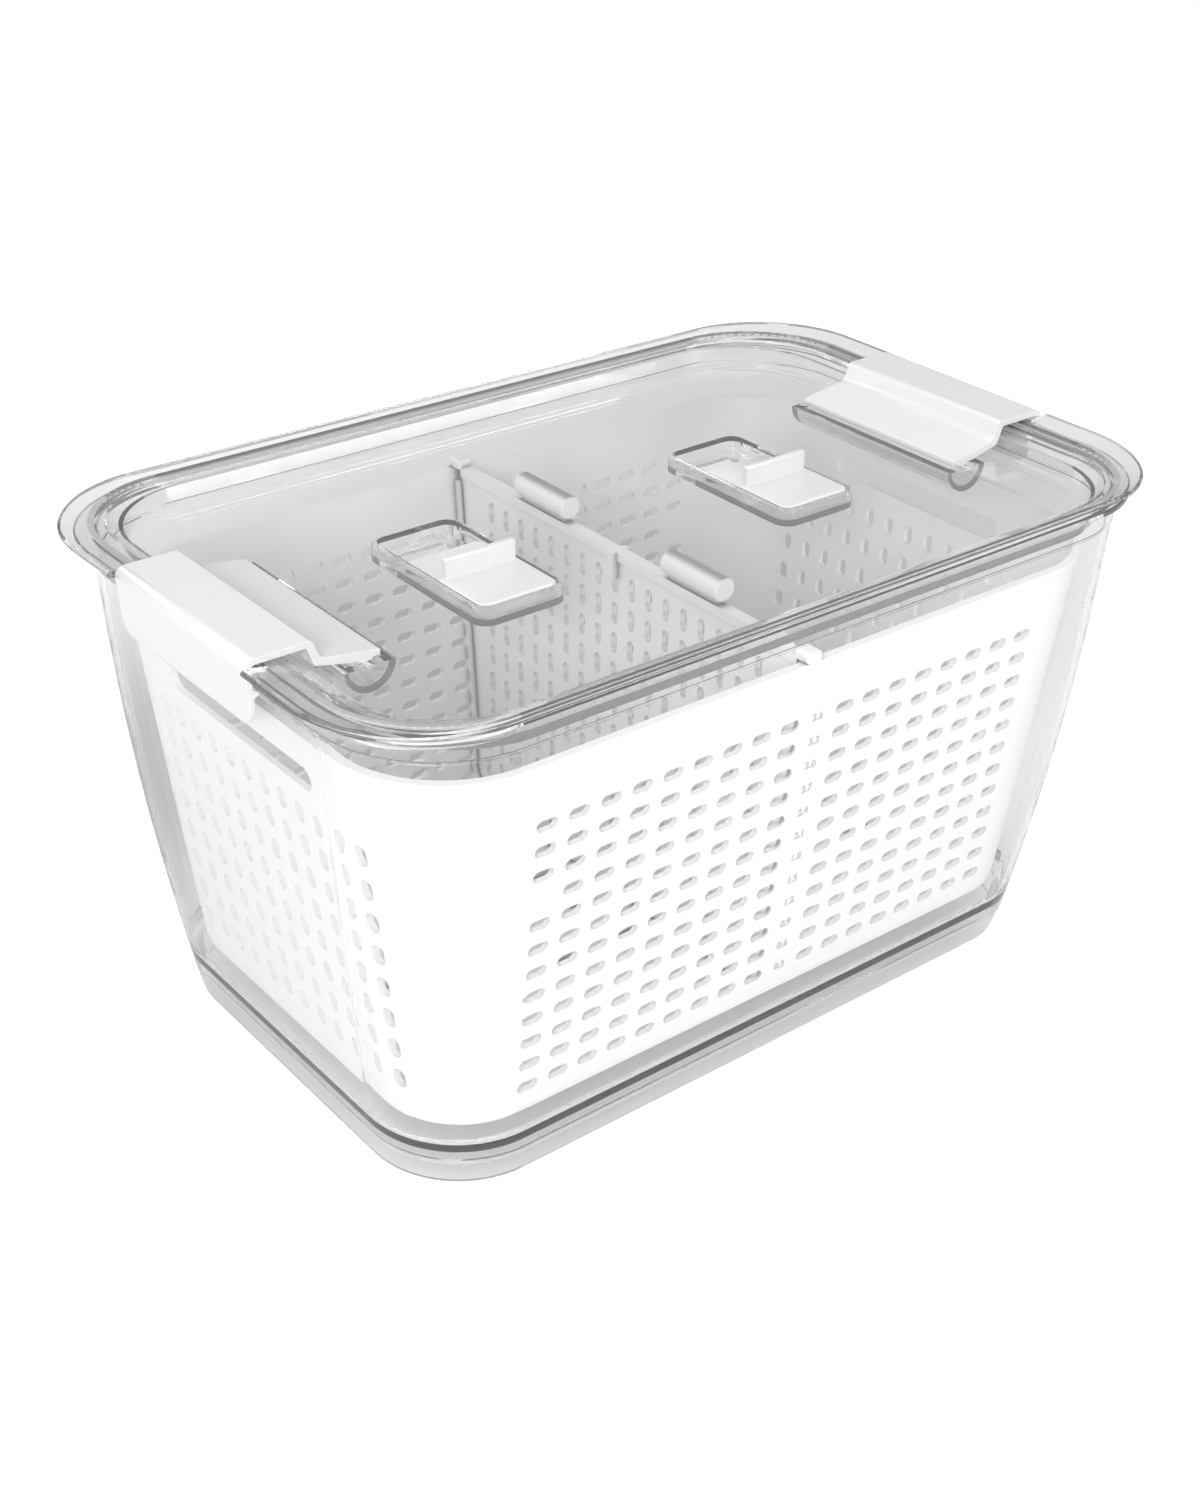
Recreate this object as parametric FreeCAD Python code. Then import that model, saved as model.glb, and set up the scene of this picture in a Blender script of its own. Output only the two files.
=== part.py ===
import FreeCAD, Part
import math
import os

# Fridge bin: a clear tub with a colander basket, a divider, a clear vented lid,
# a seal ring, two hinged snap clips and two vent sliders.  Millimetres.
# Origin: centre of the foot's underside.  +X long axis, +Z up.

# ---- tub ---------------------------------------------------------------
FOOT_HEIGHT = 8.2
FOOT_BOTTOM = (123.8, 77.0, 30.4)      # half length, half width, corner radius
FOOT_TOP = (125.4, 79.2, 31.5)
GROOVE_TOP = 9.8                       # shadow groove between foot and wall
GROOVE_DEPTH = 1.8
FLOOR_TOP = 14.2
FLOOR_UNDERSIDE = 11.6
FOOT_WALL = 2.4
TUB_WALL = 2.1
TUB_BASE = (125.6, 79.5, 31.6)         # outside of the wall at GROOVE_TOP
TUB_MOUTH = (140.9, 91.9, 37.0)        # outside of the wall at MOUTH_Z
MOUTH_Z = 154.0
WALL_BULGE = 2.2                       # how far the walls bow out at mid height
STEP_Z = 149.0                         # small outward step below the rim
STEP_OUT = 0.5
RIM_BOTTOM = 155.0
RIM_TOP = 157.3
TUB_RIM = (145.8, 93.1, 36.8)
TUB_NOTCH_X = 143.0                    # rim cut back where the clips hang

# ---- lid ---------------------------------------------------------------
LID_EDGE = (150.0, 94.8, 38.3)
LID_EDGE_TOP = 161.4
LID_EDGE_BOTTOM = 159.3
LID_EDGE_ROUND = 0.7
LID_CREST = (135.9, 89.2, 33.0)        # inner end of the flange
LID_CREST_TOP = 159.6
LID_MID = (130.8, 87.5, 31.4)          # line part way down the inner wall
LID_MID_Z = 156.6
LID_PANEL = (129.4, 86.9, 30.5)
PANEL_TOP = 152.3
PANEL_THICK = 2.2
LID_WALL = 1.9
FLANGE_THICK = 2.1
LID_NOTCH_X = 142.4
NOTCH_HALF_Y = 35.4

# ---- seal --------------------------------------------------------------
SEAL_LINE = (140.5, 91.2, 34.9)        # middle of the ring
SEAL_WIDTH = 1.9
SEAL_BOTTOM = 157.45
SEAL_TOP = 158.95

# ---- vents -------------------------------------------------------------
VENT_X = 56.4
VENT_HALF = (13.8, 27.6, 3.6)
VENT_WALL = 1.7
VENT_FLOOR = 147.0
VENT_FLOOR_THICK = 1.6
VENT_HOLE = (9.5, 4.6)                 # half size of the hole through the floor
VENT_HOLE_Y = 20.4
RAIL_DEPTH = 0.8                       # groove that holds the slider's tongues
RAIL_BOTTOM = 149.6
RAIL_TOP = 151.0
SLIDER_HALF = (13.4, 19.2, 2.6)
SLIDER_Y = -7.6
SLIDER_TOP = 152.4
SLIDER_PLATE = 1.7
SLIDER_STEP = 1.3                      # how much lower the plate is behind the rib
SLIDER_LIP = 1.6
SLIDER_BASE = 147.3
TONGUE_HALF_Y = 15.6
SLIDER_RIB = (12.2, 1.1, 6.4)          # half length, half thickness, height
SLIDER_RIB_Y = -6.6

# ---- clips -------------------------------------------------------------
HINGE_X = 112.5
HINGE_Z = 150.4
CLIP_HALF_Y = 34.3
BARREL_RADIUS = 2.6
PIN_RADIUS = 1.4
PIN_CLEARANCE = 0.08
TROUGH_RADIUS = 6.4
TROUGH_WALL = 1.6
TROUGH_HALF_Y = 34.8
SKIRT_CORNER = 6.0
# Section of the right clip: X, Z and corner radius, from the inboard edge of its
# foot along the upper side, over the rim and back along the under side.
CLIP_SECTION = (
    (107.9, 152.6, 0.4), (107.9, 154.3, 0.6), (125.9, 157.0, 3.0), (128.2, 162.9, 1.8),
    (148.5, 162.9, 3.0), (147.2, 143.0, 0.7), (145.3, 143.0, 0.5), (145.9, 151.4, 0.5),
    (144.4, 152.5, 0.3), (144.4, 153.0, 0.2), (146.0, 154.2, 0.5), (146.5, 161.0, 1.2),
    (130.1, 161.0, 0.8), (127.9, 155.2, 1.6), (116.5, 152.6, 2.0),
)

# ---- basket ------------------------------------------------------------
BASKET_BASE = (119.6, 73.4, 27.0)
BASKET_TOP = (133.0, 84.6, 34.0)
BASKET_BASE_Z = 16.2
BASKET_TOP_Z = 138.4
BASKET_WALL = 2.0
BASKET_FLOOR = 2.0
BASKET_LIP = 0.7
BASKET_LIP_Z = 136.0
BASKET_EDGE = 4.5                      # rounding under the basket
BASKET_FEET = (92.0, 48.0, 4.5)        # x, y and radius of the feet
BASKET_FOOT_Z = 14.4
SLOT_SIZE = (7.0, 3.6)
SLOT_PITCH = (10.66, 8.25)
SLOT_ROWS = 12
SLOT_COLUMNS = 18
SLOT_BOTTOM_Z = 27.6
SCALE_COLUMN = 9                       # plain column for the capacity marks
END_SLOT_SIZE = (4.2, 6.6)
END_SLOT_PITCH = (9.25, 11.0)
END_SLOT_ROWS = 8
END_SLOT_COLUMNS = 13
END_SLOT_BOTTOM_Z = 32.6
GRIP_SLOT = (75.0, 7.4)
GRIP_SLOT_Z = 123.6
GRIP_PANEL_X = 120.0                   # the end panels around the finger slots
GRIP_PANEL_HALF_Y = 41.5
GRIP_PANEL_Z = 115.6
DRAIN_SIZE = (12.0, 3.4)
DRAIN_PITCH = (26.0, 21.0)
DRAIN_COUNT = (8, 5)
GUIDE_GAP = 1.45                       # half the channel between guide ribs
GUIDE_THICK = 1.5
GUIDE_REACH = 1.8
GUIDE_Z = (22.0, 134.5)

# ---- divider -----------------------------------------------------------
DIVIDER_THICK = 2.0
DIVIDER_GAP = 0.45                     # from its ends to the basket's walls
DIVIDER_BOTTOM = 18.9
DIVIDER_TOP = 139.2
DIVIDER_BEAD = (1.9, 3.0)              # half width and height of its top bead
DIVIDER_SLOT = (3.0, 7.2)
DIVIDER_PITCH = (8.0, 10.3)
DIVIDER_COLUMNS = 17
DIVIDER_ROWS = 11
DIVIDER_SLOT_Z = 25.4
EAR_HALF = (2.8, 3.2)
EAR_Z = (138.7, 141.6)
GRIP_RADIUS = 3.8
GRIP_LENGTH = 25.0
GRIP_Y = 36.0
GRIP_Z = 144.2
CENTRE_RIB = (3.4, 1.3, 9.0)           # half width, half length and height

Vector = FreeCAD.Vector
Z_AXIS = Vector(0, 0, 1)


# ---- shapes shared by the parts ------------------------------------------
def rounded_rect(half_x, half_y, radius, z, centre=(0.0, 0.0)):
    """Closed wire of a rounded rectangle at height z."""
    cx, cy = centre
    diagonal = radius * math.sqrt(0.5)
    edges = []
    corners = ((1, 1, False), (-1, 1, True), (-1, -1, False), (1, -1, True))
    ends = []
    for sx, sy, along_x_first in corners:
        arc_x = cx + sx * (half_x - radius)
        arc_y = cy + sy * (half_y - radius)
        on_side = Vector(arc_x + sx * radius, arc_y, z)
        on_end = Vector(arc_x, arc_y + sy * radius, z)
        middle = Vector(arc_x + sx * diagonal, arc_y + sy * diagonal, z)
        start, finish = (on_end, on_side) if along_x_first else (on_side, on_end)
        ends.append((start, middle, finish))
    for index, (start, middle, finish) in enumerate(ends):
        edges.append(Part.Arc(start, middle, finish).toShape())
        following = ends[(index + 1) % len(ends)][0]
        edges.append(Part.LineSegment(finish, following).toShape())
    return Part.Wire(edges)


def inset(size, amount):
    """A rounded rectangle's (half_x, half_y, radius), moved in by amount."""
    return (size[0] - amount, size[1] - amount, size[2] - amount)


def between(low, high, share):
    """Linear mix of two rounded rectangle sizes."""
    return tuple(a + (b - a) * share for a, b in zip(low, high))


def stack(sections, smooth=False, centre=(0.0, 0.0)):
    """Solid through rounded rectangles given as (size, z)."""
    wires = [rounded_rect(*size, z, centre) for size, z in sections]
    return Part.makeLoft(wires, True, not smooth)


def block(x_range, y_range, z_range):
    """Box between pairs of limits."""
    low = Vector(x_range[0], y_range[0], z_range[0])
    return Part.makeBox(x_range[1] - x_range[0], y_range[1] - y_range[0],
                        z_range[1] - z_range[0], low)


def section_prism(corners, y_from, y_to):
    """Prism along Y of a polygon in X and Z with rounded corners (x, z, radius)."""
    bends = []
    for index, (x, z, radius) in enumerate(corners):
        here = Vector(x, y_from, z)
        before, after = corners[index - 1], corners[(index + 1) % len(corners)]
        to_before = (Vector(before[0], y_from, before[1]) - here).normalize()
        to_after = (Vector(after[0], y_from, after[1]) - here).normalize()
        half_angle = to_before.getAngle(to_after) / 2.0
        run = radius / math.tan(half_angle)
        apex = here + (to_before + to_after).normalize() * (radius / math.sin(half_angle) - radius)
        bends.append((here + to_before * run, apex, here + to_after * run))
    edges = []
    for index, (start, apex, finish) in enumerate(bends):
        edges.append(Part.Arc(start, apex, finish).toShape())
        edges.append(Part.LineSegment(finish, bends[(index + 1) % len(bends)][0]).toShape())
    return Part.Face(Part.Wire(edges)).extrude(Vector(0, y_to - y_from, 0))


def slot_prism(centre, size, long_axis, through_axis, depth):
    """Round-ended slot of size (along long_axis, across), pulled both ways."""
    length, width = size
    radius = min(length, width) / 2.0
    run = (max(length, width) / 2.0 - radius)
    across_axis = long_axis.cross(through_axis)
    start = centre - through_axis * (depth / 2.0)
    a = start - long_axis * run
    b = start + long_axis * run
    side = across_axis * radius
    edges = [
        Part.LineSegment(a + side, b + side).toShape(),
        Part.Arc(b + side, b + long_axis * radius, b - side).toShape(),
        Part.LineSegment(b - side, a - side).toShape(),
        Part.Arc(a - side, a - long_axis * radius, a + side).toShape(),
    ]
    return Part.Face(Part.Wire(edges)).extrude(through_axis * depth)


def centred(count, pitch):
    """Evenly spaced places about zero."""
    return [(index - (count - 1) / 2.0) * pitch for index in range(count)]


def mirrored_x(shape):
    return shape.mirror(Vector(0, 0, 0), Vector(1, 0, 0))


# ---- tub ---------------------------------------------------------------
def tub_size(z):
    """Outside of the bowed, tapering wall at height z."""
    share = (z - GROOVE_TOP) / (MOUTH_Z - GROOVE_TOP)
    bulge = 4.0 * WALL_BULGE * share * (1.0 - share)
    half_x, half_y, radius = between(TUB_BASE, TUB_MOUTH, share)
    return (half_x + bulge, half_y + bulge, radius)


def tub_solid(offset, levels):
    return stack([(inset(tub_size(z), offset), z) for z in levels], smooth=True)


def make_tub():
    levels = (GROOVE_TOP, 45.0, 82.0, 118.0, STEP_Z)
    foot = stack([(FOOT_BOTTOM, 0.0), (FOOT_TOP, FOOT_HEIGHT)])
    neck_size = inset(FOOT_TOP, GROOVE_DEPTH)
    neck = stack([(neck_size, FOOT_HEIGHT), (neck_size, GROOVE_TOP)])
    wall = tub_solid(0.0, levels)
    band_size = inset(tub_size(STEP_Z), -STEP_OUT)
    mouth_size = inset(tub_size(MOUTH_Z), -STEP_OUT)
    band = stack([(band_size, STEP_Z), (mouth_size, RIM_BOTTOM)])
    rim = stack([(inset(TUB_RIM, 0.5), RIM_BOTTOM), (TUB_RIM, RIM_BOTTOM + 0.5),
                 (TUB_RIM, RIM_TOP - 0.5), (inset(TUB_RIM, 0.5), RIM_TOP)])
    tub = foot.multiFuse([neck, wall, band, rim])

    inside_levels = (FLOOR_TOP + 4.0, 45.0, 82.0, 118.0, STEP_Z)
    inside = tub_solid(TUB_WALL, inside_levels)
    bottom_size = tub_size(FLOOR_TOP + 4.0)
    corner = stack([
        (inset(bottom_size, TUB_WALL + 4.6), FLOOR_TOP),
        (inset(bottom_size, TUB_WALL + 1.9), FLOOR_TOP + 1.1),
        (inset(bottom_size, TUB_WALL + 0.5), FLOOR_TOP + 2.7),
        (inset(bottom_size, TUB_WALL), FLOOR_TOP + 4.0),
    ])
    mouth = stack([(inset(band_size, TUB_WALL), STEP_Z),
                   (inset(mouth_size, TUB_WALL), RIM_TOP)])
    hollow = stack([(inset(FOOT_BOTTOM, FOOT_WALL), 0.0),
                    (inset(FOOT_TOP, FOOT_WALL + GROOVE_DEPTH), FLOOR_UNDERSIDE)])
    notches = [block(span, (-NOTCH_HALF_Y, NOTCH_HALF_Y), (RIM_BOTTOM - 1.0, RIM_TOP + 1.0))
               for span in ((TUB_NOTCH_X, 160.0), (-160.0, -TUB_NOTCH_X))]
    return tub.cut([inside, corner, mouth, hollow] + notches)


# ---- lid ---------------------------------------------------------------
def vent_solid(size, z_range, centre_x, centre_y=0.0):
    return stack([(size, z_range[0]), (size, z_range[1])],
                 centre=(centre_x, centre_y))


def hinge_cylinder(radius, half_length):
    return Part.makeCylinder(radius, 2.0 * half_length,
                             Vector(HINGE_X, -half_length, HINGE_Z), Vector(0, 1, 0))


def trough_solid(radius, half_length, top):
    """Channel with a round bottom and upright sides, up to a level top."""
    spans = ((HINGE_X - radius, HINGE_X + radius), (-half_length, half_length))
    upper = block(*spans, (HINGE_Z, top))
    lower = hinge_cylinder(radius, half_length).common(block(*spans, (HINGE_Z - radius, HINGE_Z)))
    return upper.fuse(lower)


def make_lid():
    panel_bottom = PANEL_TOP - PANEL_THICK
    crest_bottom = LID_CREST_TOP - FLANGE_THICK
    outer = stack([
        (inset(LID_PANEL, -LID_WALL), panel_bottom),
        (inset(LID_MID, -LID_WALL), LID_MID_Z - 0.6),
        (inset(LID_CREST, -0.6), crest_bottom),
        (inset(LID_EDGE, LID_EDGE_ROUND), LID_EDGE_BOTTOM),
        (LID_EDGE, LID_EDGE_BOTTOM + LID_EDGE_ROUND),
        (LID_EDGE, LID_EDGE_TOP - LID_EDGE_ROUND),
        (inset(LID_EDGE, LID_EDGE_ROUND), LID_EDGE_TOP),
    ])
    recess = stack([
        (LID_PANEL, PANEL_TOP),
        (LID_MID, LID_MID_Z),
        (LID_CREST, LID_CREST_TOP),
        (inset(LID_EDGE, LID_EDGE_ROUND), LID_EDGE_TOP),
        (inset(LID_EDGE, LID_EDGE_ROUND), LID_EDGE_TOP + 2.0),
    ])
    lid = outer.cut(recess)
    seal_seat = seal_solid(SEAL_BOTTOM - 3.0, SEAL_TOP)

    pockets = []
    troughs = []
    cuts = [seal_seat]
    pocket_outer = inset(VENT_HALF, -VENT_WALL)
    for side in (-1, 1):
        x = side * VENT_X
        pockets.append(vent_solid(pocket_outer, (VENT_FLOOR - VENT_FLOOR_THICK, PANEL_TOP), x))
        cuts.append(vent_solid(VENT_HALF, (VENT_FLOOR, PANEL_TOP + 1.0), x))
        rail = (VENT_HALF[0] + RAIL_DEPTH, VENT_HALF[1] - VENT_HALF[2])
        cuts.append(block((x - rail[0], x + rail[0]), (-rail[1], rail[1]),
                          (RAIL_BOTTOM, RAIL_TOP)))
        cuts.append(block((x - VENT_HOLE[0], x + VENT_HOLE[0]),
                          (VENT_HOLE_Y - VENT_HOLE[1], VENT_HOLE_Y + VENT_HOLE[1]),
                          (VENT_FLOOR - 4.0, VENT_FLOOR + 1.0)))
    outer_trough = trough_solid(TROUGH_RADIUS + TROUGH_WALL, TROUGH_HALF_Y + TROUGH_WALL,
                                PANEL_TOP)
    inner_trough = trough_solid(TROUGH_RADIUS, TROUGH_HALF_Y, PANEL_TOP + 1.0)
    bore = hinge_cylinder(PIN_RADIUS + PIN_CLEARANCE, TROUGH_HALF_Y + TROUGH_WALL + 1.0)
    notch = block((LID_NOTCH_X, 160.0), (-NOTCH_HALF_Y, NOTCH_HALF_Y), (150.0, 165.0))
    for piece in (outer_trough, mirrored_x(outer_trough)):
        troughs.append(piece)
    for piece in (inner_trough, bore, notch):
        cuts.extend((piece, mirrored_x(piece)))
    return lid.multiFuse(pockets + troughs).cut(cuts)


def seal_solid(z_low, z_high):
    outer = inset(SEAL_LINE, -SEAL_WIDTH / 2.0)
    inner = inset(SEAL_LINE, SEAL_WIDTH / 2.0)
    ring = stack([(outer, z_low), (outer, z_high)])
    return ring.cut(stack([(inner, z_low - 1.0), (inner, z_high + 1.0)]))


def make_seal():
    """Ring with two rounded sealing lips on its underside."""
    ring = seal_solid(SEAL_BOTTOM + 0.5, SEAL_TOP)
    lip = SEAL_WIDTH / 4.0
    for offset in (-lip, lip):
        line = inset(SEAL_LINE, offset)
        outer = stack([(inset(line, -0.2), SEAL_BOTTOM), (inset(line, -0.45), SEAL_BOTTOM + 0.6)])
        inner = stack([(inset(line, 0.2), SEAL_BOTTOM), (inset(line, 0.45), SEAL_BOTTOM + 0.6)])
        ring = ring.fuse(outer.cut(inner))
    return ring


# ---- vent sliders --------------------------------------------------------
def make_slider(side):
    x = side * VENT_X
    half_length, half_thick, height = SLIDER_RIB
    plate_bottom = SLIDER_TOP - SLIDER_PLATE
    rear_y = SLIDER_RIB_Y + half_thick
    end_y = SLIDER_Y + SLIDER_HALF[1]
    body = vent_solid(SLIDER_HALF, (SLIDER_BASE, SLIDER_TOP - 0.4), x, SLIDER_Y)
    eased = stack([(SLIDER_HALF, SLIDER_TOP - 0.4), (inset(SLIDER_HALF, 0.4), SLIDER_TOP)],
                  centre=(x, SLIDER_Y))
    hollow_half = inset(SLIDER_HALF, SLIDER_LIP)
    under = vent_solid(hollow_half, (SLIDER_BASE - 1.0, plate_bottom), x, SLIDER_Y)
    rear_plate = block((x - hollow_half[0], x + hollow_half[0]),
                       (rear_y - SLIDER_STEP, end_y - SLIDER_LIP),
                       (plate_bottom - SLIDER_STEP, plate_bottom))
    over_rear = block((x - SLIDER_HALF[0] - 1.0, x + SLIDER_HALF[0] + 1.0),
                      (rear_y, end_y + 1.0), (SLIDER_TOP - SLIDER_STEP, SLIDER_TOP + 1.0))
    tongue_half = (VENT_HALF[0] + RAIL_DEPTH - 0.35, TONGUE_HALF_Y)
    tongue = block((x - tongue_half[0], x + tongue_half[0]),
                   (SLIDER_Y - tongue_half[1], SLIDER_Y + tongue_half[1]),
                   (RAIL_BOTTOM + 0.3, RAIL_TOP - 0.3))
    tongue = tongue.cut(under)
    rib = block((x - half_length, x + half_length),
                (SLIDER_RIB_Y - half_thick, rear_y), (plate_bottom, SLIDER_TOP + height))
    top_edges = [edge for edge in rib.Edges
                 if edge.CenterOfMass.z > SLIDER_TOP + height / 2.0]
    rib = rib.makeFillet(0.7, top_edges)
    plate = body.fuse(eased).cut(under).fuse(rear_plate).cut(over_rear)
    return plate.multiFuse([tongue, rib]).removeSplitter()


# ---- clips -------------------------------------------------------------
def skirt_corner_cut(side_y):
    """Waste outside the rounded lower corner of the skirt."""
    y_edge = side_y * CLIP_HALF_Y
    y_in = y_edge - side_y * SKIRT_CORNER
    z_low = min(z for _, z, _ in CLIP_SECTION)
    waste = block((140.0, 150.0), sorted((y_in, y_edge + side_y)),
                  (z_low - 1.0, z_low + SKIRT_CORNER))
    keep = Part.makeCylinder(SKIRT_CORNER, 12.0,
                             Vector(139.0, y_in, z_low + SKIRT_CORNER), Vector(1, 0, 0))
    return waste.cut(keep)


def make_right_clip():
    plate = section_prism(CLIP_SECTION, -CLIP_HALF_Y, CLIP_HALF_Y)
    plate = plate.cut([skirt_corner_cut(side) for side in (-1, 1)])
    barrel = hinge_cylinder(BARREL_RADIUS, CLIP_HALF_Y)
    web = block((HINGE_X - BARREL_RADIUS + 0.4, HINGE_X + BARREL_RADIUS - 0.4),
                (-CLIP_HALF_Y, CLIP_HALF_Y), (HINGE_Z, 153.4))
    pin = hinge_cylinder(PIN_RADIUS, TROUGH_HALF_Y + TROUGH_WALL - 0.1)
    return plate.multiFuse([barrel, web, pin]).removeSplitter()


# ---- basket ------------------------------------------------------------
def basket_size(z):
    share = (z - BASKET_BASE_Z) / (BASKET_TOP_Z - BASKET_BASE_Z)
    return between(BASKET_BASE, BASKET_TOP, share)


def basket_shell():
    edge_z = BASKET_BASE_Z + BASKET_EDGE
    outside = [(inset(basket_size(edge_z), BASKET_EDGE), BASKET_BASE_Z)]
    for angle in (30.0, 60.0):
        turn = math.radians(angle)
        drop = BASKET_EDGE * (1.0 - math.sin(turn))
        outside.append((inset(basket_size(edge_z), drop),
                        edge_z - BASKET_EDGE * math.cos(turn)))
    outside.append((basket_size(edge_z), edge_z))
    outside.append((basket_size(BASKET_LIP_Z), BASKET_LIP_Z))
    outside.append((inset(basket_size(BASKET_LIP_Z), -BASKET_LIP), BASKET_LIP_Z + 0.3))
    outside.append((inset(BASKET_TOP, -BASKET_LIP), BASKET_TOP_Z))
    floor_z = BASKET_BASE_Z + BASKET_FLOOR
    inner_edge = BASKET_EDGE - BASKET_WALL
    inside = [
        (inset(basket_size(edge_z), BASKET_WALL + inner_edge), floor_z),
        (inset(basket_size(edge_z), BASKET_WALL + 0.7), floor_z + 0.8),
        (inset(basket_size(edge_z), BASKET_WALL), edge_z),
        (inset(BASKET_TOP, BASKET_WALL), BASKET_TOP_Z),
    ]
    return stack(outside).cut(stack(inside))


def basket_holes():
    x_axis, y_axis = Vector(1, 0, 0), Vector(0, 1, 0)
    holes = []
    for row in range(SLOT_ROWS):
        z = SLOT_BOTTOM_Z + row * SLOT_PITCH[1]
        for column, x in enumerate(centred(SLOT_COLUMNS, SLOT_PITCH[0])):
            if column != SCALE_COLUMN:
                holes.append(slot_prism(Vector(x, 0, z), SLOT_SIZE, x_axis, y_axis, 200.0))
    for row in range(END_SLOT_ROWS):
        z = END_SLOT_BOTTOM_Z + row * END_SLOT_PITCH[1]
        for y in centred(END_SLOT_COLUMNS, END_SLOT_PITCH[0]):
            holes.append(slot_prism(Vector(0, y, z), END_SLOT_SIZE, Z_AXIS, x_axis, 300.0))
    holes.append(slot_prism(Vector(0, 0, GRIP_SLOT_Z), GRIP_SLOT, y_axis, x_axis, 300.0))
    for x in centred(DRAIN_COUNT[0], DRAIN_PITCH[0]):
        for y in centred(DRAIN_COUNT[1], DRAIN_PITCH[1]):
            holes.append(slot_prism(Vector(x, y, BASKET_BASE_Z), DRAIN_SIZE, x_axis, Z_AXIS, 8.0))
    return holes


def guide_rib(side_x, side_y):
    """Rib on a long wall that holds one face of the divider."""
    low, high = GUIDE_Z
    x_near = side_x * GUIDE_GAP
    x_far = side_x * (GUIDE_GAP + GUIDE_THICK)
    points = []
    for z, reach in ((low, GUIDE_REACH), (high, GUIDE_REACH), (high, -0.8), (low, -0.8)):
        inner_y = basket_size(z)[1] - BASKET_WALL
        points.append(Vector(x_near, side_y * (inner_y - reach), z))
    face = Part.Face(Part.makePolygon(points + points[:1]))
    return face.extrude(Vector(x_far - x_near, 0, 0))


def make_basket():
    basket = basket_shell().cut(basket_holes())
    ribs = [guide_rib(side_x, side_y) for side_x in (-1, 1) for side_y in (-1, 1)]
    foot_x, foot_y, foot_radius = BASKET_FEET
    feet = [Part.makeCone(foot_radius - 0.8, foot_radius, BASKET_BASE_Z + 0.5 - BASKET_FOOT_Z,
                          Vector(side_x * foot_x, side_y * foot_y, BASKET_FOOT_Z))
            for side_x in (-1, 1) for side_y in (-1, 1)]
    return basket.multiFuse(ribs + feet)


def grip_region(side_x):
    """Space taken by the end panel around one finger slot."""
    return block(sorted((side_x * GRIP_PANEL_X, side_x * 150.0)),
                 (-GRIP_PANEL_HALF_Y, GRIP_PANEL_HALF_Y), (GRIP_PANEL_Z, BASKET_TOP_Z + 1.0))


# ---- divider -----------------------------------------------------------
def divider_half(z):
    return basket_size(z)[1] - BASKET_WALL - DIVIDER_GAP


def make_divider():
    x_axis = Vector(1, 0, 0)
    low_half = divider_half(DIVIDER_BOTTOM) - BASKET_EDGE
    edge_z = DIVIDER_BOTTOM + BASKET_EDGE
    outline = [(low_half, DIVIDER_BOTTOM), (divider_half(edge_z), edge_z),
               (divider_half(DIVIDER_TOP), DIVIDER_TOP)]
    half_thick = DIVIDER_THICK / 2.0
    points = [Vector(-half_thick, y, z) for y, z in outline]
    points += [Vector(-half_thick, -y, z) for y, z in reversed(outline)]
    panel = Part.Face(Part.makePolygon(points + points[:1])).extrude(x_axis * DIVIDER_THICK)
    slots = [slot_prism(Vector(0, y, DIVIDER_SLOT_Z + row * DIVIDER_PITCH[1]),
                        DIVIDER_SLOT, Z_AXIS, x_axis, 10.0)
             for row in range(DIVIDER_ROWS)
             for y in centred(DIVIDER_COLUMNS, DIVIDER_PITCH[0])
             if abs(y) + DIVIDER_SLOT[0] < divider_half(DIVIDER_SLOT_Z + row * DIVIDER_PITCH[1])]
    panel = panel.cut(slots)

    bead_half, bead_height = DIVIDER_BEAD
    bead_end = divider_half(GUIDE_Z[1]) - GUIDE_REACH
    pieces = [block((-bead_half, bead_half), (-bead_end, bead_end),
                    (DIVIDER_TOP - bead_height, DIVIDER_TOP))]
    rib_x, rib_y, rib_height = CENTRE_RIB
    pieces.append(block((-rib_x, rib_x), (-rib_y, rib_y), (DIVIDER_TOP - rib_height, DIVIDER_TOP)))
    ear_x, ear_reach = EAR_HALF
    for side in (-1, 1):
        ear_y = side * (basket_size(BASKET_TOP_Z)[1] - BASKET_WALL)
        ear = block((-ear_x, ear_x), (ear_y - ear_reach, ear_y + ear_reach), EAR_Z)
        pieces.append(ear.makeFillet(1.2, [edge for edge in ear.Edges
                                           if edge.CenterOfMass.z > EAR_Z[0] + 0.1]))
        start = Vector(0, side * GRIP_Y - GRIP_LENGTH / 2.0, GRIP_Z)
        rod = Part.makeCylinder(GRIP_RADIUS, GRIP_LENGTH, start, Vector(0, 1, 0))
        pieces.append(rod.makeFillet(0.7, [edge for edge in rod.Edges if edge.Closed]))
        pieces.append(block((-half_thick, half_thick),
                            (start.y + 2.0, start.y + GRIP_LENGTH - 2.0),
                            (DIVIDER_TOP - 0.5, GRIP_Z)))
    return panel.multiFuse(pieces)


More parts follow.
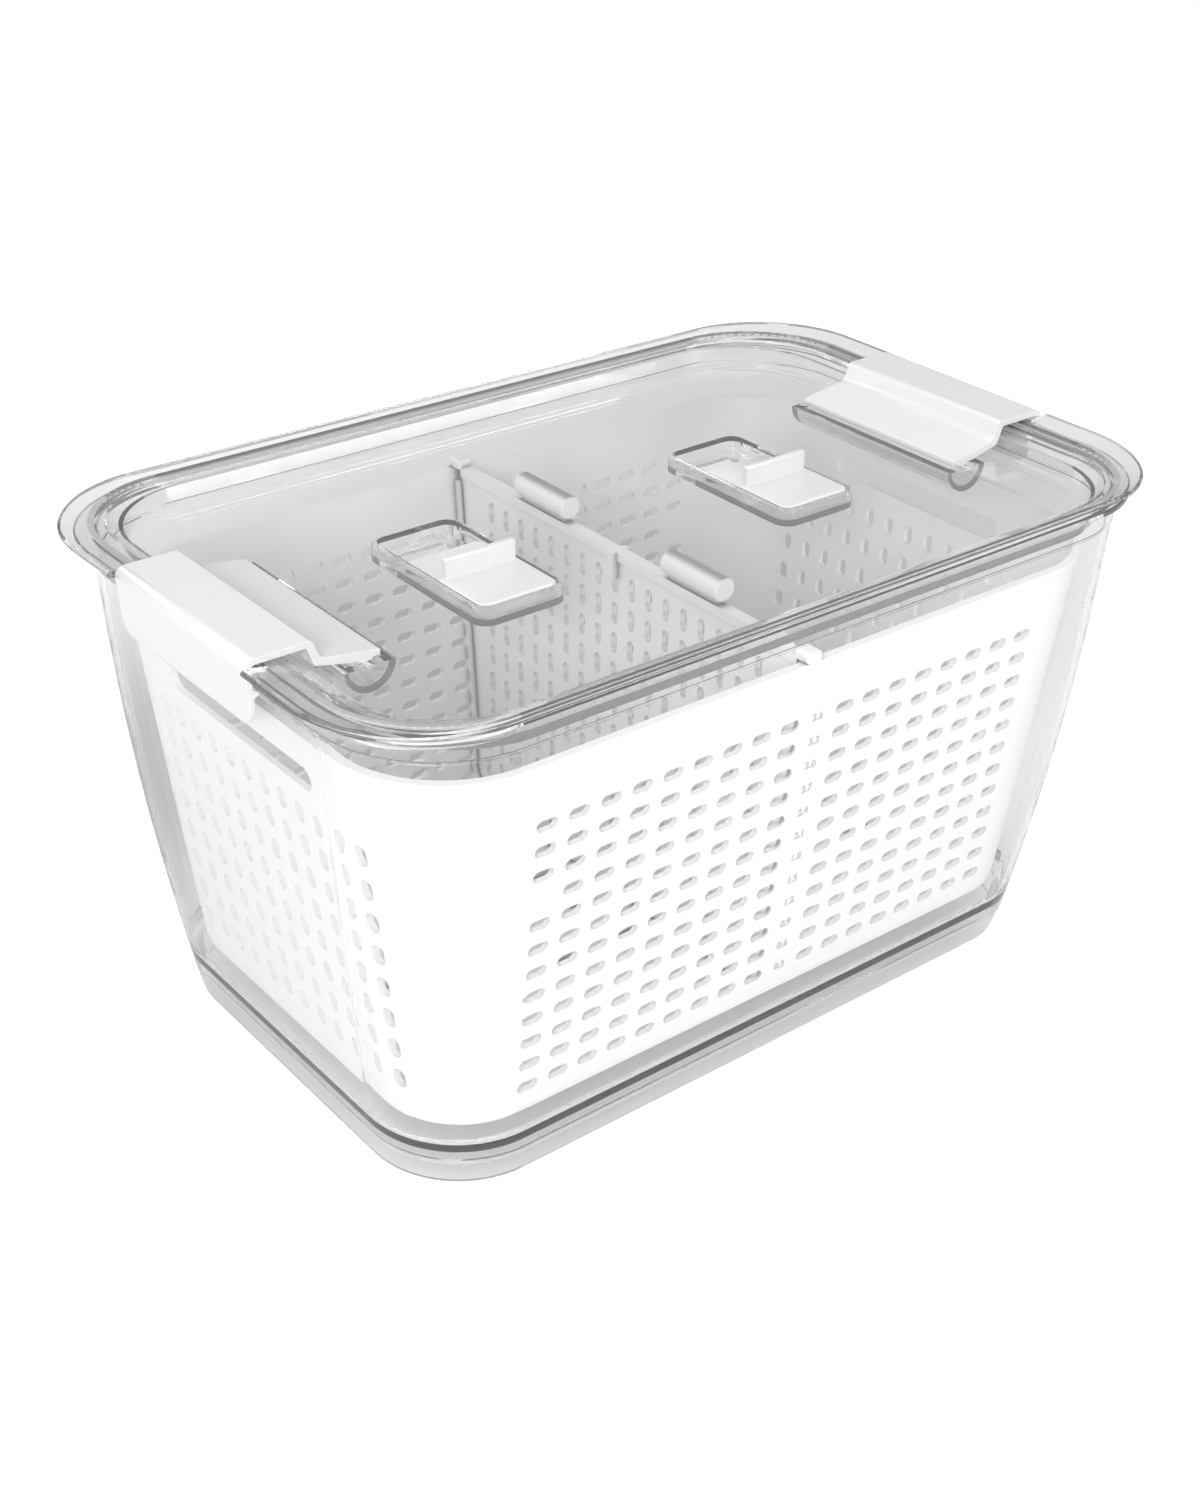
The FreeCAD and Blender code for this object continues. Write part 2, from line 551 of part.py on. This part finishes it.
def main():
    os.makedirs("parts", exist_ok=True)
    right_clip = make_right_clip()
    basket = make_basket()
    grip_regions = [grip_region(side) for side in (-1, 1)]
    shapes = {
        "bin_shell": make_tub(),
        "lid_shell": make_lid(),
        "lid_gasket": make_seal(),
        "left_clip": mirrored_x(right_clip),
        "right_clip": right_clip,
        "left_vent_slider": make_slider(-1),
        "right_vent_slider": make_slider(1),
        "colander_basket": basket.cut(grip_regions),
        "basket_left_grip": basket.common(grip_regions[0]),
        "basket_right_grip": basket.common(grip_regions[1]),
        "divider": make_divider(),
    }
    for name, shape in shapes.items():
        solids = shape.Solids
        shape = solids[0] if len(solids) == 1 else shape
        box = shape.BoundBox
        print(name, len(solids), shape.isValid(), "volume %.0f" % shape.Volume,
              "faces", len(shape.Faces),
              "x %.1f..%.1f y %.1f..%.1f z %.1f..%.1f" % (
                  box.XMin, box.XMax, box.YMin, box.YMax, box.ZMin, box.ZMax))
        shape.exportStep("parts/%s.step" % name)


main()
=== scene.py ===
import bmesh
import bpy
import math
from mathutils import Matrix, Vector


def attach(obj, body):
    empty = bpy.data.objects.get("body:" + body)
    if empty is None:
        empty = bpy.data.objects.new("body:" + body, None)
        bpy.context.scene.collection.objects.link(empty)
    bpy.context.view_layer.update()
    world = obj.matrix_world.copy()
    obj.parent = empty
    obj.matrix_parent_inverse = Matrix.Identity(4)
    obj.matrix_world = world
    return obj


# Looks for the fridge bin: clear tub and lid, white basket, divider, clips and vent
# sliders, on a pale floor in soft studio light.  Lengths are metres; MM turns millimetres.
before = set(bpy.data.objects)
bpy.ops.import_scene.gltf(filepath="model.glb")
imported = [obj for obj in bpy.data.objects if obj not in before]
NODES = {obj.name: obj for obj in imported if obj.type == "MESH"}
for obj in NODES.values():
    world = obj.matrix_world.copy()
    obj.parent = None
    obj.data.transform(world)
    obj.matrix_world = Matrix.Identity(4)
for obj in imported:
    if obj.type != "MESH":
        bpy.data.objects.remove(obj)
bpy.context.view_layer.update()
scene = bpy.context.scene
MM = 0.001


# ---------------------------------------------------------------- node helpers
def tree_of(material):
    """An emptied node tree and its output."""
    material.use_nodes = True
    tree = material.node_tree
    tree.nodes.clear()
    return tree, tree.nodes.new("ShaderNodeOutputMaterial")


def noise(tree, coords, scale, detail=3.0, stretch=(1.0, 1.0, 1.0)):
    """A noise texture in object space, stretched along an axis where asked."""
    mapping = tree.nodes.new("ShaderNodeMapping")
    mapping.inputs["Scale"].default_value = stretch
    tree.links.new(coords, mapping.inputs["Vector"])
    texture = tree.nodes.new("ShaderNodeTexNoise")
    texture.inputs["Scale"].default_value = scale
    texture.inputs["Detail"].default_value = detail
    tree.links.new(mapping.outputs["Vector"], texture.inputs["Vector"])
    return texture.outputs["Fac"]


def remap(tree, value, low, high):
    """value, which runs around 0.3 to 0.7, moved to the range low to high."""
    node = tree.nodes.new("ShaderNodeMapRange")
    node.inputs["From Min"].default_value = 0.3
    node.inputs["From Max"].default_value = 0.7
    node.inputs["To Min"].default_value = low
    node.inputs["To Max"].default_value = high
    tree.links.new(value, node.inputs["Value"])
    return node.outputs["Result"]


def blend_colour(tree, factor, first, second):
    """A colour between first and second."""
    node = tree.nodes.new("ShaderNodeMix")
    node.data_type = "RGBA"
    node.inputs["A"].default_value = (*first, 1.0)
    node.inputs["B"].default_value = (*second, 1.0)
    tree.links.new(factor, node.inputs["Factor"])
    return node.outputs["Result"]


def bump(tree, height, strength, distance):
    """A bump from a height."""
    node = tree.nodes.new("ShaderNodeBump")
    node.inputs["Strength"].default_value = strength
    node.inputs["Distance"].default_value = distance
    tree.links.new(height, node.inputs["Height"])
    return node.outputs["Normal"]


def paint_corner_shade(tree, colour, depth):
    """colour with painted shade, darker by depth where the surface lies deep in a slot or corner."""
    nearby = tree.nodes.new("ShaderNodeAmbientOcclusion")
    nearby.samples = 6
    nearby.inputs["Distance"].default_value = 3.2 * MM
    reach = tree.nodes.new("ShaderNodeMapRange")
    reach.inputs["From Min"].default_value = 0.35
    reach.inputs["From Max"].default_value = 0.90
    reach.inputs["To Min"].default_value = 1.0 - depth
    reach.inputs["To Max"].default_value = 1.0
    tree.links.new(nearby.outputs["AO"], reach.inputs["Value"])
    product = tree.nodes.new("ShaderNodeMix")
    product.data_type = "RGBA"
    product.blend_type = "MULTIPLY"
    product.inputs["Factor"].default_value = 1.0
    tree.links.new(colour, product.inputs["A"])
    tree.links.new(reach.outputs["Result"], product.inputs["B"])
    return product.outputs["Result"]


def ramp_of(tree, value, stops):
    """A grey ramp through stops of (place, grey)."""
    ramp = tree.nodes.new("ShaderNodeValToRGB")
    while len(ramp.color_ramp.elements) < len(stops):
        ramp.color_ramp.elements.new(0.5)
    for element, (place, grey) in zip(ramp.color_ramp.elements, stops):
        element.position = place
        element.color = (grey, grey, grey, 1.0)
    tree.links.new(value, ramp.inputs["Fac"])
    return ramp.outputs["Color"]


def object_coords(tree):
    return tree.nodes.new("ShaderNodeTexCoord").outputs["Object"]


def mix_shader(tree, factor, first, second):
    """A shader between first and second."""
    node = tree.nodes.new("ShaderNodeMixShader")
    tree.links.new(factor, node.inputs["Fac"])
    tree.links.new(first, node.inputs[1])
    tree.links.new(second, node.inputs[2])
    return node.outputs["Shader"]


# ---------------------------------------------------------------- materials
PLASTIC_IOR = 1.5


def clear_plastic(name, tint, shadow_tint, wave, haze):
    """Clear moulded plastic. It bends what is seen through it, and lets lamplight through.
    wave is how uneven its surface is, haze the share of milky scatter in its skin."""
    material = bpy.data.materials.new(name)
    tree, output = tree_of(material)
    coords = object_coords(tree)
    plastic = tree.nodes.new("ShaderNodeBsdfPrincipled")
    plastic.inputs["Transmission Weight"].default_value = 1.0
    plastic.inputs["IOR"].default_value = PLASTIC_IOR
    cloud = noise(tree, coords, 14.0)
    colour = blend_colour(tree, cloud, tint, [c * 0.985 for c in tint])
    tree.links.new(colour, plastic.inputs["Base Color"])
    scuff = noise(tree, coords, 60.0, 6.0, (1.0, 1.0, 3.0))
    tree.links.new(remap(tree, scuff, 0.0, 0.03), plastic.inputs["Roughness"])
    flow = noise(tree, coords, 22.0, 1.0, (1.0, 1.0, 0.5))
    tree.links.new(bump(tree, flow, wave, 0.4 * MM), plastic.inputs["Normal"])
    milky = tree.nodes.new("ShaderNodeBsdfDiffuse")
    milk = blend_colour(tree, cloud, (0.86, 0.86, 0.865), (0.80, 0.80, 0.805))
    tree.links.new(milk, milky.inputs["Color"])
    share = remap(tree, cloud, haze * 0.85, haze * 1.15)
    skin = mix_shader(tree, share, plastic.outputs["BSDF"], milky.outputs["BSDF"])
    passing = tree.nodes.new("ShaderNodeBsdfTransparent")
    passing.inputs["Color"].default_value = (*shadow_tint, 1.0)
    path = tree.nodes.new("ShaderNodeLightPath")
    either = tree.nodes.new("ShaderNodeMath")
    either.operation = "MAXIMUM"
    tree.links.new(path.outputs["Is Shadow Ray"], either.inputs[0])
    tree.links.new(path.outputs["Is Diffuse Ray"], either.inputs[1])
    whole = mix_shader(tree, either.outputs["Value"], skin, passing.outputs["BSDF"])
    tree.links.new(whole, output.inputs["Surface"])
    return material


def white_plastic(name, light, dark, rough, grain, coat=0.0, depth=0.0):
    """Opaque moulded plastic with a fine grain and a slight cloud in its colour.
    depth is how far painted shade darkens it inside narrow slots and corners."""
    material = bpy.data.materials.new(name)
    tree, output = tree_of(material)
    coords = object_coords(tree)
    plastic = tree.nodes.new("ShaderNodeBsdfPrincipled")
    plastic.inputs["IOR"].default_value = PLASTIC_IOR
    plastic.inputs["Coat Weight"].default_value = coat
    plastic.inputs["Coat Roughness"].default_value = 0.12
    cloud = noise(tree, coords, 18.0)
    colour = blend_colour(tree, cloud, light, dark)
    # Painted shade: the colour darkens where the surface lies deep in a slot or corner.
    if depth:
        colour = paint_corner_shade(tree, colour, depth)
    tree.links.new(colour, plastic.inputs["Base Color"])
    wear = noise(tree, coords, 90.0, 5.0)
    tree.links.new(remap(tree, wear, rough[0], rough[1]), plastic.inputs["Roughness"])
    fine = noise(tree, coords, 2600.0, 2.0)
    tree.links.new(bump(tree, fine, grain, 0.05 * MM), plastic.inputs["Normal"])
    tree.links.new(plastic.outputs["BSDF"], output.inputs["Surface"])
    return material


TUB = clear_plastic("clear_tub", (0.95, 0.953, 0.957), (0.97, 0.97, 0.972), wave=0.06, haze=0.03)
LID = clear_plastic("clear_lid", (0.885, 0.888, 0.892), (0.905, 0.905, 0.91), wave=0.05, haze=0.04)
SEAL = white_plastic("silicone_seal", (0.62, 0.63, 0.64), (0.56, 0.57, 0.58), (0.4, 0.55), grain=0.3)
CLIP = white_plastic("white_clip", (0.67, 0.67, 0.67), (0.65, 0.65, 0.65), (0.28, 0.38), grain=0.04,
                     coat=0.2)
# The basket's colour carries painted shade in its slots and corners.
BASKET = white_plastic("white_basket", (0.84, 0.84, 0.845), (0.81, 0.81, 0.815), (0.38, 0.5),
                       grain=0.08, depth=0.92)
# The raised figures' grey is painted shade, standing in for the shading along their relief.
PAINTED_MARK_SHADE = white_plastic("capacity_relief_painted_shade", (0.46, 0.46, 0.465), (0.42, 0.42, 0.425), (0.4, 0.5),
                     grain=0.08)

FINISH = {
    "bin_shell": TUB,
    "lid_shell": LID,
    "lid_gasket": SEAL,
    "left_clip": CLIP,
    "right_clip": CLIP,
    "left_vent_slider": CLIP,
    "right_vent_slider": CLIP,
    "colander_basket": BASKET,
    "basket_left_grip": BASKET,
    "basket_right_grip": BASKET,
    "divider": BASKET,
}
for node_name, finish in FINISH.items():
    mesh = NODES[node_name].data
    mesh.materials.clear()
    mesh.materials.append(finish)


# ---------------------------------------------------------------- softened edges
SOFT_EDGE = 0.35
SOFT_ANGLE = 35.0


def soften(piece):
    """Rounds a moulded part's sharp edges, as its tool would."""
    weld = piece.modifiers.new("weld", "WELD")
    weld.merge_threshold = 0.002 * MM
    flat = piece.modifiers.new("flat", "DECIMATE")
    flat.decimate_type = "DISSOLVE"
    flat.angle_limit = math.radians(1.0)
    bevel = piece.modifiers.new("bevel", "BEVEL")
    bevel.width = SOFT_EDGE * MM
    bevel.segments = 2
    bevel.limit_method = "ANGLE"
    bevel.angle_limit = math.radians(SOFT_ANGLE)
    bevel.harden_normals = True


for node_name in ("left_clip", "right_clip", "left_vent_slider", "right_vent_slider"):
    soften(NODES[node_name])


# ---------------------------------------------------------------- capacity marks
MARK_X = 5.33
MARK_ROWS = 12
MARK_LOW_Z = 27.6
MARK_PITCH = 8.25
MARK_STEP = 0.3
WALL_LOW = (16.2, 73.4)
WALL_HIGH = (138.4, 84.6)


def make_marks():
    """Raised litre figures in the plain column of the basket's front wall, their grey a painted
    shade.
    """
    rise = WALL_HIGH[0] - WALL_LOW[0]
    spread = WALL_HIGH[1] - WALL_LOW[1]
    up = Vector((0.0, -spread, rise)).normalized()
    across = Vector((1.0, 0.0, 0.0))
    turn = Matrix((across, up, across.cross(up))).transposed().to_4x4()
    marks = bmesh.new()
    for row in range(MARK_ROWS):
        z = MARK_LOW_Z + row * MARK_PITCH
        y = -(WALL_LOW[1] + spread * (z - WALL_LOW[0]) / rise)
        figure = bpy.data.curves.new("figure", "FONT")
        figure.body = "%.1f" % ((row + 1) * MARK_STEP)
        figure.size = 3.5 * MM
        figure.extrude = 0.11 * MM
        figure.bevel_depth = 0.05 * MM
        figure.align_x = "CENTER"
        figure.align_y = "CENTER"
        holder = bpy.data.objects.new("figure", figure)
        scene.collection.objects.link(holder)
        bpy.context.view_layer.update()
        shown = holder.evaluated_get(bpy.context.evaluated_depsgraph_get())
        solid = bpy.data.meshes.new_from_object(shown)
        place = Matrix.Translation(Vector((MARK_X, y, z)) * MM)
        solid.transform(place @ turn)
        marks.from_mesh(solid)
        bpy.data.objects.remove(holder)
        bpy.data.meshes.remove(solid)
    mesh = bpy.data.meshes.new("capacity_marks")
    marks.to_mesh(mesh)
    marks.free()
    mesh.materials.clear()
    mesh.materials.append(PAINTED_MARK_SHADE)
    piece = bpy.data.objects.new("capacity_marks", mesh)
    scene.collection.objects.link(piece)
    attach(piece, "basket")


make_marks()


# ---------------------------------------------------------------- floor
FLOOR_SEEN = 0.99
FLOOR_LIFT = 0.07
# Centre and half size of the painted shadow on the floor, then its greys.
SHADE_CENTRE = (0.075, 0.18)
SHADE_HALF = (0.20, 0.10)
FLOOR_SHADOW_GREYS = [(0.0, 0.32), (0.40, 0.32), (0.65, 0.62), (1.0, 0.78)]


def floor_painted_shadow(tree, coords):
    """The floor's grey as other surfaces see it, with a painted shadow of the object: darkest on the
    far side.
    """
    place = tree.nodes.new("ShaderNodeMapping")
    place.inputs["Scale"].default_value = (1.0 / SHADE_HALF[0], 1.0 / SHADE_HALF[1], 0.0)
    place.inputs["Location"].default_value = (-SHADE_CENTRE[0] / SHADE_HALF[0],
                                              -SHADE_CENTRE[1] / SHADE_HALF[1], 0.0)
    tree.links.new(coords, place.inputs["Vector"])
    reach = tree.nodes.new("ShaderNodeVectorMath")
    reach.operation = "LENGTH"
    tree.links.new(place.outputs["Vector"], reach.inputs[0])
    share = tree.nodes.new("ShaderNodeMath")
    share.operation = "MULTIPLY"
    share.inputs[1].default_value = 0.5
    tree.links.new(reach.outputs["Value"], share.inputs[0])
    return ramp_of(tree, share.outputs["Value"], FLOOR_SHADOW_GREYS)


def floor_paper(tree, cloud, colour, lift):
    """Matte paper of one colour. lift is a faint glow that keeps it pale far from the lamps."""
    paper = tree.nodes.new("ShaderNodeBsdfPrincipled")
    paper.inputs["Specular IOR Level"].default_value = 0.1
    paper.inputs["Emission Color"].default_value = (1.0, 1.0, 1.0, 1.0)
    paper.inputs["Emission Strength"].default_value = lift
    tree.links.new(colour, paper.inputs["Base Color"])
    tree.links.new(remap(tree, cloud, 0.6, 0.7), paper.inputs["Roughness"])
    return paper.outputs["BSDF"]


def make_floor():
    """A wide pale floor, a softer grey to whatever isn't the camera, so clear parts show on it, with
    a painted shadow behind the object.
    """
    mesh = bpy.data.meshes.new("studio_floor")
    half = 6.0
    corners = [(-half, -half, 0.0), (half, -half, 0.0), (half, half, 0.0), (-half, half, 0.0)]
    mesh.from_pydata(corners, [], [(0, 1, 2, 3)])
    floor = bpy.data.objects.new("studio_floor", mesh)
    scene.collection.objects.link(floor)
    material = bpy.data.materials.new("studio_floor")
    tree, output = tree_of(material)
    coords = object_coords(tree)
    cloud = noise(tree, coords, 3.0)
    # What other surfaces see of the floor carries a painted shadow behind the object.
    shadowed_floor = floor_paper(tree, cloud, floor_painted_shadow(tree, coords), 0.0)
    seen_grey = blend_colour(tree, cloud, (FLOOR_SEEN,) * 3, (FLOOR_SEEN - 0.01,) * 3)
    seen = floor_paper(tree, cloud, seen_grey, FLOOR_LIFT)
    path = tree.nodes.new("ShaderNodeLightPath")
    surface = mix_shader(tree, path.outputs["Is Camera Ray"], shadowed_floor, seen)
    tree.links.new(surface, output.inputs["Surface"])
    mesh.materials.append(material)


make_floor()


# ---------------------------------------------------------------- light
def make_world():
    """Bright above, with a darker band near the horizon that draws the edges of clear parts.
    Seen straight from the camera it is plain and pale."""
    world = bpy.data.worlds.new("studio")
    scene.world = world
    world.use_nodes = True
    tree = world.node_tree
    tree.nodes.clear()
    output = tree.nodes.new("ShaderNodeOutputWorld")
    back = tree.nodes.new("ShaderNodeBackground")
    coords = tree.nodes.new("ShaderNodeTexCoord")
    split = tree.nodes.new("ShaderNodeSeparateXYZ")
    tree.links.new(coords.outputs["Generated"], split.inputs["Vector"])
    stops = [(0.0, 0.32), (0.04, 0.12), (0.20, 0.17), (0.38, 0.52), (0.55, 0.82), (1.0, 0.82)]
    path = tree.nodes.new("ShaderNodeLightPath")
    seen = tree.nodes.new("ShaderNodeMix")
    seen.data_type = "RGBA"
    seen.inputs["B"].default_value = (1.0, 1.0, 1.0, 1.0)
    tree.links.new(path.outputs["Is Camera Ray"], seen.inputs["Factor"])
    tree.links.new(ramp_of(tree, split.outputs["Z"], stops), seen.inputs["A"])
    tree.links.new(seen.outputs["Result"], back.inputs["Color"])
    back.inputs["Strength"].default_value = 0.95
    tree.links.new(back.outputs["Background"], output.inputs["Surface"])


def area_light(name, place, aim, size, power):
    """A rectangular softbox at place, facing aim."""
    data = bpy.data.lights.new(name, "AREA")
    data.shape = "RECTANGLE"
    data.size, data.size_y = size
    data.energy = power
    lamp = bpy.data.objects.new(name, data)
    scene.collection.objects.link(lamp)
    lamp.location = place
    direction = Vector(aim) - Vector(place)
    lamp.rotation_mode = "QUATERNION"
    lamp.rotation_quaternion = direction.to_track_quat("-Z", "Y")


make_world()
area_light("key_softbox", (-1.45, -1.25, 0.95), (0.0, 0.0, 0.08), (0.8, 0.7), 33.0)
area_light("front_softbox", (0.9, -1.7, 0.7), (0.0, 0.0, 0.08), (1.0, 0.7), 12.0)
area_light("top_softbox", (0.5, 0.8, 2.8), (0.3, 0.5, 0.0), (3.6, 3.2), 20.0)
area_light("back_softbox", (-0.7, 1.6, 0.75), (0.0, 0.0, 0.12), (1.5, 0.35), 9.0)


# ---------------------------------------------------------------- camera
def make_camera():
    """The view from the front left, above the lid."""
    data = bpy.data.cameras.new("camera")
    data.sensor_width = 36.0
    data.lens = 51.33
    camera = bpy.data.objects.new("camera", data)
    scene.collection.objects.link(camera)
    back = Vector((-0.54544, -0.67203, 0.50087)).normalized()
    right = Vector((0.78277, -0.62205, 0.01781)).normalized()
    up = back.cross(right).normalized()
    right = up.cross(back)
    place = Vector((-0.37554, -0.45580, 0.41201))
    turn = Matrix((right, up, back)).transposed().to_4x4()
    camera.matrix_world = Matrix.Translation(place) @ turn
    scene.camera = camera


make_camera()
scene.view_settings.view_transform = "Standard"
scene.view_settings.exposure = 0.0
scene.cycles.transparent_max_bounces = 24
scene.cycles.transmission_bounces = 16
scene.cycles.max_bounces = 18
